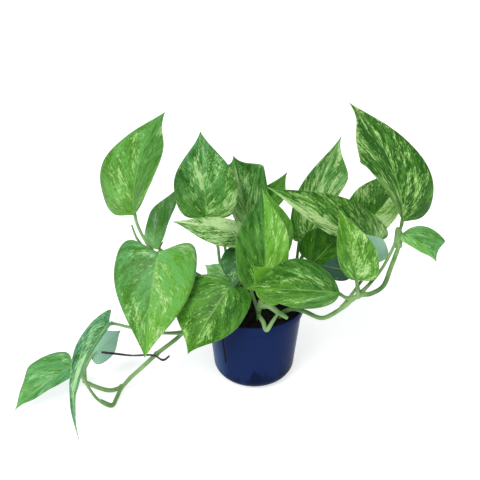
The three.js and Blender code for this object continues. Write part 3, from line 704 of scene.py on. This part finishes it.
def under_material(look):
    """The dull lower side: bluish green with painted shade, the cream showing through and a raised
    midrib.
    """
    material, tree = new_material("Pothos blade, lower side")
    _, read, marks = blade_parts(tree)
    # painted shade: a blade with a low green gets the dark teal of a lower side in deep shade
    darker = [c * c * 0.3 for c in look.underside]
    tone = scaled(tree, read["green"], 2.5, 0.5)
    base = blend_colours(tree, tone, darker, look.underside)
    base = glaze(tree, base, marks["Light"], 0.45, look.light)
    base = glaze(tree, base, marks["Cream"], 0.5, look.cream)
    base = glaze(tree, base, marks["Midrib"], 0.6, look.light)
    base = glaze(tree, base, marks["Veins"], 0.15, look.light)
    # painted sheen: the sky's bluish reflection is added where the mottle is light
    waxy = times(tree, read["cool"], marks["Mottle"])
    base = glaze(tree, base, waxy, 1.35, look.painted_sheen, "ADD")
    relief = plus(tree, marks["Veins"], times(tree, marks["Midrib"], 2.0))
    roughness = scaled(tree, marks["Mottle"], 0.2, 0.45)
    return surface(material, base, roughness, WAX_MIRRORING, bump(tree, relief, 0.4, 0.0003))


# ---------------- pot


POT_FLOOR = 0.0024  # thickness of the pot's bottom


def arc(centre, radius, start, end, steps):
    """Points of an arc in the XZ plane, angles in degrees from +X."""
    points = []
    for k in range(steps + 1):
        a = math.radians(start + (end - start) * k / steps)
        points.append(
            Vector((centre[0] + radius * math.cos(a), 0, centre[1] + radius * math.sin(a)))
        )
    return points


def turned(profile, steps):
    """Spins a profile of XZ points round the Z axis into a closed skin."""
    bm = bmesh.new()
    verts = [bm.verts.new(p) for p in profile]
    edges = [bm.edges.new(pair) for pair in zip(verts, verts[1:])]
    bmesh.ops.spin(
        bm, geom=verts + edges, cent=(0, 0, 0), axis=(0, 0, 1), angle=math.tau,
        steps=steps, use_merge=True,
    )
    bmesh.ops.remove_doubles(bm, verts=bm.verts, dist=1e-6)
    bmesh.ops.recalc_face_normals(bm, faces=bm.faces)
    return bm


def wall_at(pot, z):
    """The outside radius of the pot's tapered wall at a height."""
    return pot.foot_radius + (pot.top_radius - pot.foot_radius) * z / pot.height


def pot_material(look):
    """Smooth dark blue plastic, cloudy and a little dusty, with painted reflections at foot and side.
    """
    material, tree = new_material("Pot plastic")
    place = own_place(tree)
    height = split(tree, place)[2]
    cloud = grain(tree, place, 24.0)
    darker = [c * 0.42 for c in look.plastic]
    # painted dark reflection: a ragged darker band round the foot
    tall = vector_maths(tree, "MULTIPLY", place, (1.0, 1.0, 0.4))
    low = scaled(tree, grain(tree, tall, 75.0), -0.11, height)
    base = blend_colours(tree, step_up(tree, low, -0.052, -0.026), darker, look.plastic)
    base = glaze(tree, base, cloud, 0.25, darker)

    # a soft painted highlight down one side, and a thin painted dark line beside it, both on the
    # front
    flat = vector_maths(tree, "MULTIPLY", place, (1.0, 1.0, 0.0))
    facing = split(tree, vector_maths(tree, "NORMALIZE", flat))
    wavy = scaled(tree, grain(tree, place, 60.0, 2.0), 0.05, facing[0])
    front = step_up(tree, facing[1], 0.5, -0.1)
    painted_highlight = times(tree, step_up(tree, wavy, -0.55, -0.90), front)
    painted_highlight = times(tree, painted_highlight, step_up(tree, height, 0.006, 0.02))
    base = glaze(tree, base, painted_highlight, 0.8, look.painted_highlight)
    # painted reflection: a thin dark line along the edge of the painted highlight, on the front
    off = maths(tree, "ABSOLUTE", plus(tree, wavy, 0.645))
    upward = times(tree, step_up(tree, height, 0.028, 0.036), step_up(tree, height, 0.08, 0.075))
    reflection_edge = times(tree, times(tree, step_up(tree, off, 0.026, 0.010), upward), front)
    base = blend_colours(tree, reflection_edge, base, (0.001, 0.001, 0.002))

    dust = step_up(tree, grain(tree, place, 1100.0, 2.0), 0.68, 0.8)
    base = glaze(tree, base, dust, 0.05, (0.4, 0.38, 0.34))
    return surface(material, base, scaled(tree, cloud, 0.14, 0.16), 0.02)


class POTHOS_OT_pot(bpy.types.Operator):
    """Turn the pot, with its rim band, rounded foot and drain holes"""

    bl_idname = "pothos.pot"
    bl_label = "Pot"

    def execute(self, context):
        p = context.scene.pothos_pot
        under = p.height - p.rim_band
        outer = p.foot_round
        inner = outer - p.wall
        centre = wall_at(p, outer) - outer
        lip = p.rim_radius - p.wall / 2
        # up the outside, over the lip and down the inside
        profile = [Vector((0, 0, 0))]
        profile += arc((centre, outer), outer, -90, 0, 14)
        profile += arc((wall_at(p, under) + 0.0002, under - 0.0018), 0.0006, -20, 45, 3)
        profile += arc((p.rim_radius - 0.0014, under + 0.0008), 0.0009, -60, 0, 4)
        profile += arc((lip, p.height - p.wall / 2), p.wall / 2, 0, 180, 10)
        profile += arc((p.rim_radius - p.wall - 0.0008, under + 0.001), 0.0008, 0, -60, 3)
        profile.append(Vector((wall_at(p, under - 0.004) - p.wall, 0, under - 0.004)))
        profile += arc((centre, POT_FLOOR + inner), inner, 0, -90, 10)
        profile.append(Vector((0, 0, POT_FLOOR)))
        bm = turned(profile, 120)
        pot = finish_piece(bm, "pot_shell", [pot_material(p)], ["pot"])
        self.drill(pot, p)
        return {"FINISHED"}

    def drill(self, pot, p):
        """Cuts the ring of drain holes through the pot's bottom."""
        bm = bmesh.new()
        for k in range(p.drains):
            a = math.tau * k / p.drains
            place = Matrix.Translation((p.drain_ring * math.cos(a), p.drain_ring * math.sin(a), 0))
            bmesh.ops.create_cone(
                bm, cap_ends=True, segments=32, radius1=p.drain_radius, radius2=p.drain_radius,
                depth=POT_FLOOR * 5, matrix=place,
            )
        drill = place_new("drill", mesh_from(bm, "drill"))
        cut = pot.modifiers.new("Drain holes", "BOOLEAN")
        cut.operation = "DIFFERENCE"
        cut.solver = "EXACT"
        cut.object = drill
        bpy.context.view_layer.objects.active = pot
        bpy.ops.object.modifier_apply(modifier=cut.name)
        bpy.data.objects.remove(drill)
        if len(pot.data.polygons) < 1000:
            raise RuntimeError("the drain holes removed the pot's wall")


# ---------------- soil


SOIL_FOOT = 0.0027  # height of the soil's underside, just off the pot's floor
SOIL_GAP = 0.0005  # between the soil and the pot's wall
CRUMB_SIZES = (0.0007, 0.0009, 0.0012, 0.0017)


def soil_material(look):
    """Dark potting mix: damp in the hollows, drier and browner on the crumbs."""
    material, tree = new_material("Potting mix")
    place = own_place(tree)
    coarse = grain(tree, place, 260.0, 5.0, 0.7)
    fine = grain(tree, place, 1400.0, 3.0, 0.7)
    both = plus(tree, times(tree, coarse, 0.6), times(tree, fine, 0.4))
    base = blend_colours(tree, step_up(tree, both, 0.42, 0.66), look.dark, look.light)
    roughness = scaled(tree, coarse, 0.3, 0.62)
    return surface(material, base, roughness, 0.2, bump(tree, both, 0.9, 0.0012))


class POTHOS_OT_soil(bpy.types.Operator):
    """Fill the pot with crumbly potting mix"""

    bl_idname = "pothos.soil"
    bl_label = "Soil"

    def execute(self, context):
        p = context.scene.pothos_pot
        s = context.scene.pothos_soil
        top = p.height - s.below_rim
        radius = wall_at(p, top) - p.wall - SOIL_GAP
        material = soil_material(s)

        def height(x, y):
            spot = Vector((x, y, 0))
            swell = s.dome * (1 - (x * x + y * y) / radius**2)
            return top + swell + 0.0012 * noise.noise(spot * 90) + 0.0007 * noise.noise(spot * 320)

        foot = p.foot_round - p.wall
        centre = p.foot_radius + (p.top_radius - p.foot_radius) * 0.18 - p.foot_round
        profile = [Vector((radius * k / 36, 0, top)) for k in range(37)]
        profile += arc((centre, SOIL_FOOT + foot), foot - SOIL_GAP, 0, -90, 6)
        profile.append(Vector((0, 0, SOIL_FOOT)))
        bm = turned(profile, 110)
        for vert in bm.verts:
            if vert.co.z > top - 0.001:
                vert.co.z = height(vert.co.x, vert.co.y)
        finish_piece(bm, "soil_bed", [material], ["soil"])

        dice = random.Random(7)
        bm = bmesh.new()
        for _ in range(s.crumbs):
            away = radius * 0.985 * math.sqrt(dice.random())
            a = dice.uniform(0, math.tau)
            x, y = away * math.cos(a), away * math.sin(a)
            size = dice.choice(CRUMB_SIZES) * dice.uniform(0.8, 1.25)
            turn = Matrix.Rotation(dice.uniform(0, math.tau), 4, (dice.random(), 1, dice.random()))
            stretch = Matrix.Diagonal((1.0, dice.uniform(0.6, 1.3), dice.uniform(0.5, 0.8), 1.0))
            place = Matrix.Translation((x, y, height(x, y) + size * 0.25)) @ turn @ stretch
            made = bmesh.ops.create_icosphere(bm, subdivisions=2, radius=size, matrix=place)
            for vert in made["verts"]:
                vert.co += vert.normal * size * 0.5 * noise.noise(vert.co * 900)
        finish_piece(bm, "soil_crumbs", [material], ["soil"])
        return {"FINISHED"}


# ---------------- blades


LOBE_SHARE = 0.42  # how far up the grid the edge is at its broadest
LOBE_OUT = 0.45  # how far the edge sets out sideways from the stalk
SHOULDER = 0.42  # how far past the widest place the edge stays broad
DRAWN_IN, DRAWN_FROM = 0.2, 0.8  # half width and place where the tip is drawn out
RIPPLE, RIPPLE_SHIFT = 15, 1.2  # the waves along the edge, in radians
GROOVE_DEPTH, GROOVE_HALF_WIDTH = 0.5, 1.3  # the midrib's groove, in millimetres
MIDRIB_CROWDING = 1.4  # above 1 it draws the grid's columns to the midrib
SOFT_MIDDLE = 0.05  # where one half's colouring turns into the other's


def bezier(a, b, c, d, t):
    s = 1 - t
    return a * s**3 + 3 * b * s * s * t + 3 * c * s * t * t + d * t**3


def edge_at(u, lobe, broad):
    """Half a flat blade's edge, one long and one wide, at u from the stalk to the tip."""
    if u < LOBE_SHARE:
        t = u / LOBE_SHARE
        return bezier(0, LOBE_OUT, 1, 1, t), bezier(0, -lobe * 0.6, -lobe * 3, broad, t)
    t = (u - LOBE_SHARE) / (1 - LOBE_SHARE)
    shoulder = broad + (1 - broad) * SHOULDER
    return bezier(1, 1, DRAWN_IN, 0, t), bezier(broad, shoulder, DRAWN_FROM, 1, t)


def blade_axes(leaf):
    """The ways along a blade, up out of it and to its right, and its length."""
    along = Vector(leaf.tip) - Vector(leaf.base)
    length = along.length
    along.normalize()
    up = Vector(leaf.face)
    up = (up - along * up.dot(along)).normalized()
    return along, up, along.cross(up), length


def blade_point(leaf, axes, u, v):
    """A point of a blade's middle surface, in metres; v is -1 at the left edge, 1 at the right."""
    along, up, right, length = axes
    hand = 1 if v > 0 else 0
    edge_x, edge_y = edge_at(u, leaf.lobe[hand], leaf.broad[hand])
    side = abs(v)
    y = u * u + (edge_y - u * u) * side
    half = edge_x * side * leaf.width[hand]
    bend = math.radians(leaf.fold[hand] + leaf.curl * side)
    x = math.copysign(half * math.cos(bend), v)
    z = half * math.sin(bend)
    ripple = math.sin(u * RIPPLE + hand * RIPPLE_SHIFT) * math.sin(math.pi * u)
    z += leaf.wave * side * side * ripple
    z -= GROOVE_DEPTH * math.exp(-((half / GROOVE_HALF_WIDTH) ** 2)) * (1 - y)
    turn = math.radians(leaf.twist) * (y - 0.5)
    x, z = x * math.cos(turn) - z * math.sin(turn), x * math.sin(turn) + z * math.cos(turn)
    bow = 4 * y * (1 - y) * length
    x += leaf.sway * bow
    z += leaf.arch * bow
    return (Vector(leaf.base) + along * (y * length) + right * x + up * z) * MM


def between(pair, share):
    return pair[0] + (pair[1] - pair[0]) * share


def blade_mesh(name, leaf, settings):
    """A grid laid over the blade, with its map, and its colouring as attributes."""
    bm = bmesh.new()
    uv = bm.loops.layers.uv.new("Blade")
    bmesh.ops.create_grid(
        bm, x_segments=settings.columns, y_segments=settings.rows, size=1.0, calc_uvs=True
    )
    layers = {key: bm.verts.layers.float.new(key) for key in CHANNELS}
    look = COLOURING[name]
    seed = 3.7 * list(LEAVES).index(name)
    axes = blade_axes(leaf)
    where = {}
    for vert in bm.verts:
        u = (vert.co.y + 1) / 2
        v = math.copysign(abs(vert.co.x) ** MIDRIB_CROWDING, vert.co.x)
        hand = (v + 1) / 2 if abs(v) < SOFT_MIDDLE else float(v > 0)
        vert[layers["green"]] = between(look.green, hand)
        vert[layers["marble"]] = between(look.marble, hand)
        # the painted sheen runs from the base's amount to the tip's
        vert[layers["cool"]] = between(look.cool, u)
        vert[layers["seed"]] = seed
        vert[layers["dry"]] = look.dry
        where[vert] = (u, v)
    for face in bm.faces:
        for loop in face.loops:
            u, v = where[loop.vert]
            loop[uv].uv = ((v + 1) / 2, u)
    for vert, (u, v) in where.items():
        vert.co = blade_point(leaf, axes, u, v)
        ripple = noise.noise(vert.co * 55 + Vector((seed, 0, 0))) * 0.0009 * abs(v)
        vert.co += axes[1] * ripple * math.sin(math.pi * u)
    bmesh.ops.remove_doubles(bm, verts=bm.verts, dist=1e-6)
    return bm


class POTHOS_OT_leaves(bpy.types.Operator):
    """Shape the marbled leaf blades"""

    bl_idname = "pothos.leaves"
    bl_label = "Leaves"

    def execute(self, context):
        settings = context.scene.pothos_leaves
        materials = [upper_material(settings), under_material(settings)]
        for name, leaf in LEAVES.items():
            bm = blade_mesh(name, leaf, settings)
            piece = finish_piece(bm, name.replace("leaf_", "blade_"), materials, [name])
            skin = piece.modifiers.new("Thickness", "SOLIDIFY")
            skin.thickness = settings.thickness
            skin.offset = 0
            skin.material_offset = 1
            skin.material_offset_rim = 0
        return {"FINISHED"}


# ---------------- stems and root


VINE_STEP = 0.0016  # metres between two rings of a vine
STALK_STEP = 0.0012  # and of a stalk or a bare shoot
ROOT_STEP, ROOT_RADIUS, ROOT_WOBBLE = 0.001, 0.00062, 0.0006
ROOT_SEED = 1
ROOTED_AT = (58, 69, 80)  # heights of a vine's points in the soil, in millimetres
CLASP_FADE = 0.007  # how far the wide foot of a stalk reaches
STALK_TAIL = round(0.008 / STALK_STEP)  # rings of the thin end that runs under the midrib


def stem_material(look, name, age):
    """Smooth stem skin: green and mottled where it is old, pale where it is young."""
    material, tree = new_material(name.replace("stem_", "Stem skin, ").replace("_", " "))
    place = own_place(tree)
    patches = grain(tree, place, 34.0)
    young = step_up(tree, patches, age - 0.14, age + 0.16)
    base = blend_colours(tree, young, look.green, look.pale)
    streaks = grain(tree, place, 240.0)
    base = glaze(tree, base, streaks, 0.35, look.green)
    flecks = step_up(tree, grain(tree, place, 700.0, 2.0), 0.62, 0.74)
    base = glaze(tree, base, flecks, 0.22, look.bark)
    roughness = scaled(tree, patches, 0.2, 0.34)
    return surface(material, base, roughness, 0.3, bump(tree, streaks, 0.25, 0.0004))


def root_material(look):
    """Dry, dull brown root bark."""
    material, tree = new_material("Dry root")
    bark = grain(tree, own_place(tree), 800.0, 4.0, 0.7)
    base = blend_colours(tree, bark, [c * 0.4 for c in look.bark], [c * 1.8 for c in look.bark])
    roughness = scaled(tree, bark, 0.3, 0.6)
    return surface(material, base, roughness, 0.5, bump(tree, bark, 0.7, 0.0005))


def stalk_line(route, leaf):
    """A stalk's points: its way from the vine, the blade's base, and on under the midrib."""
    along, up, _, _ = blade_axes(leaf)
    base = Vector(leaf.base)
    joint = base + along * 1.0 - up * 1.5
    rise = 4 * 8 * leaf.arch  # about as high as the midrib has bowed there
    under = base + along * 9.0 + up * (rise - 1.1)
    return [*route, tuple(joint), tuple(under)]


def stalk_radii(line, radius):
    """Wide where the stalk clasps the vine, a small knee under the blade, then thin."""
    end = len(line) - 1
    radii = []
    for k in range(end + 1):
        here = radius * (1 + 0.75 * math.exp(-k * STALK_STEP / CLASP_FADE))
        left = end - k
        if left < STALK_TAIL:
            here *= 0.35 + 0.65 * left / STALK_TAIL
        elif left < STALK_TAIL + 5:
            here *= 1.12
        radii.append(here)
    return radii


class POTHOS_OT_stems(bpy.types.Operator):
    """Grow the vines with their stalks and shoots"""

    bl_idname = "pothos.stems"
    bl_label = "Stems"

    def execute(self, context):
        s = context.scene.pothos_stems
        for name, stem in STEMS.items():
            material = stem_material(s, name, stem.age)
            bm = bmesh.new()
            x, y, _ = stem.vine[0]
            vine = smooth_route([*((x, y, z) for z in ROOTED_AT), *stem.vine], VINE_STEP)
            slim = len(vine) - 4  # the last rings are a little thinner
            radii = [
                s.vine_radius * (1 + 0.07 * noise.noise(p * 140)) * (1.0 if k < slim else 0.9)
                for k, p in enumerate(vine)
            ]
            sweep(bm, vine, radii, 16)
            for k in stem.knuckles:
                bmesh.ops.create_icosphere(
                    bm, subdivisions=3, radius=s.vine_radius * 1.36,
                    matrix=Matrix.Translation(Vector(stem.vine[k]) * MM),
                )
            for leaf_name, route in stem.stalks.items():
                line = smooth_route(stalk_line(route, LEAVES[leaf_name]), STALK_STEP)
                sweep(bm, line, stalk_radii(line, s.stalk_radius), 12)
            for radius, route in stem.shoots:
                line = smooth_route(route, STALK_STEP)
                end = len(line) - 1
                radii = [radius * MM * (1.0 - 0.45 * (k / end) ** 4) for k in range(end + 1)]
                sweep(bm, line, radii, 12)
            bmesh.ops.recalc_face_normals(bm, faces=bm.faces)
            piece = finish_piece(bm, name.replace("stem_", "vine_"), [material], [name])
            melt = piece.modifiers.new("Joints", "REMESH")
            melt.mode = "VOXEL"
            melt.voxel_size = s.cell
            melt.use_smooth_shade = True
            soft = piece.modifiers.new("Soften", "SMOOTH")
            soft.factor = 0.5
            soft.iterations = 4
        return {"FINISHED"}


class POTHOS_OT_root(bpy.types.Operator):
    """Lay the dry aerial root against the trailing vine"""

    bl_idname = "pothos.root"
    bl_label = "Aerial root"

    def execute(self, context):
        bm = bmesh.new()
        line = smooth_route(AERIAL_ROOT, ROOT_STEP)
        noise.seed_set(ROOT_SEED)  # without a seed, noise_vector differs from run to run
        # two thin strands, one above the other
        for offset in (Vector((0, 0, 0.0006)), Vector((0, 0, -0.0007))):
            wobble = [
                p + offset + ROOT_WOBBLE * noise.noise_vector(p * 60 + offset * 9000) for p in line
            ]
            radii = [ROOT_RADIUS * (1 + 0.3 * noise.noise(p * 400)) for p in wobble]
            sweep(bm, wobble, radii, 10)
        bmesh.ops.recalc_face_normals(bm, faces=bm.faces)
        material = root_material(context.scene.pothos_stems)
        finish_piece(bm, "dry_root", [material], ["aerial_root"])
        return {"FINISHED"}


# ---------------- stage


def floor_material(look):
    """A pale studio floor with a soft glow of its own."""
    material, tree = new_material("Studio floor")
    cloud = grain(tree, own_place(tree), 3.0, 2.0)
    base = blend_colours(tree, cloud, look.floor, [min(1.0, c * 1.02) for c in look.floor])
    shader = tree.nodes["Principled BSDF"]
    tree.links.new(base, shader.inputs["Base Color"])
    shader.inputs["Roughness"].default_value = 0.9
    shader.inputs["Specular IOR Level"].default_value = 0.1
    shader.inputs["Emission Color"].default_value = (1.0, 1.0, 1.0, 1.0)
    shader.inputs["Emission Strength"].default_value = 0.6
    return material


def soft_sun(name, way, strength, spread):
    """A far, wide light; way is the direction that it comes from."""
    data = bpy.data.lights.new(name, "SUN")
    data.energy = strength
    data.angle = math.radians(spread)
    lamp = place_new(name, data)
    lamp.rotation_euler = (-Vector(way)).to_track_quat("-Z", "Y").to_euler()


def studio_world():
    """Cool, even light all round, which the camera sees as white."""
    world = bpy.data.worlds.new("Studio")
    world.use_nodes = True
    tree = world.node_tree
    back = tree.nodes["Background"]
    back.inputs["Color"].default_value = (0.94, 0.97, 1.0, 1.0)
    seen = add(tree, "ShaderNodeLightPath").outputs["Is Camera Ray"]
    tree.links.new(scaled(tree, seen, 0.6, 0.45), back.inputs["Strength"])
    return world


class POTHOS_OT_stage(bpy.types.Operator):
    """Set up the pale floor, the soft light and the camera"""

    bl_idname = "pothos.stage"
    bl_label = "Stage"

    def execute(self, context):
        s = context.scene.pothos_stage
        bm = bmesh.new()
        bmesh.ops.create_grid(bm, x_segments=1, y_segments=1, size=6.0)
        bmesh.ops.translate(bm, vec=(0, 0, -0.0002), verts=bm.verts)
        floor = place_new("floor", mesh_from(bm, "floor"))
        floor.data.materials.append(floor_material(s))

        context.scene.world = studio_world()
        soft_sun("Key", (-0.5, -0.7, 1.0), 2.4, 35)
        soft_sun("Fill", (0.8, -0.5, 0.5), 0.5, 60)

        data = bpy.data.cameras.new("Camera")
        data.sensor_width = 36
        data.lens = s.lens
        data.clip_start = 0.01
        camera = place_new("Camera", data)
        camera.location = s.place
        camera.rotation_euler = (math.pi / 2 - s.pitch, 0, 0)
        context.scene.camera = camera
        context.scene.view_settings.view_transform = "Standard"
        return {"FINISHED"}


# ---------------- panel and registration


# each group of settings on the scene, with the operators that read it
GROUPS = {
    "pothos_stage": (StageSettings, POTHOS_OT_stage),
    "pothos_pot": (PotSettings, POTHOS_OT_pot),
    "pothos_soil": (SoilSettings, POTHOS_OT_soil),
    "pothos_stems": (StemSettings, POTHOS_OT_stems, POTHOS_OT_root),
    "pothos_leaves": (LeafSettings, POTHOS_OT_leaves),
}


class POTHOS_PT_panel(bpy.types.Panel):
    """Lists the plant's pieces and their settings"""

    bl_label = "Potted pothos"
    bl_idname = "POTHOS_PT_panel"
    bl_space_type = "VIEW_3D"
    bl_region_type = "UI"
    bl_category = "Pothos"

    def draw(self, context):
        for name, (settings, *operators) in GROUPS.items():
            box = self.layout.box()
            for key in settings.__annotations__:
                box.prop(getattr(context.scene, name), key)
            for operator in operators:
                box.operator(operator.bl_idname)


CLASSES = (*(cls for group in GROUPS.values() for cls in group), POTHOS_PT_panel)


def register():
    for cls in CLASSES:
        bpy.utils.register_class(cls)
    for name, (settings, *_) in GROUPS.items():
        setattr(bpy.types.Scene, name, bpy.props.PointerProperty(type=settings))


def unregister():
    for name in GROUPS:
        delattr(bpy.types.Scene, name)
    for cls in reversed(CLASSES):
        bpy.utils.unregister_class(cls)


def main():
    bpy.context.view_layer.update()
    register()
    bpy.ops.pothos.stage()
    bpy.ops.pothos.pot()
    bpy.ops.pothos.soil()
    bpy.ops.pothos.stems()
    bpy.ops.pothos.leaves()
    bpy.ops.pothos.root()


if __name__ == "__main__":
    main()
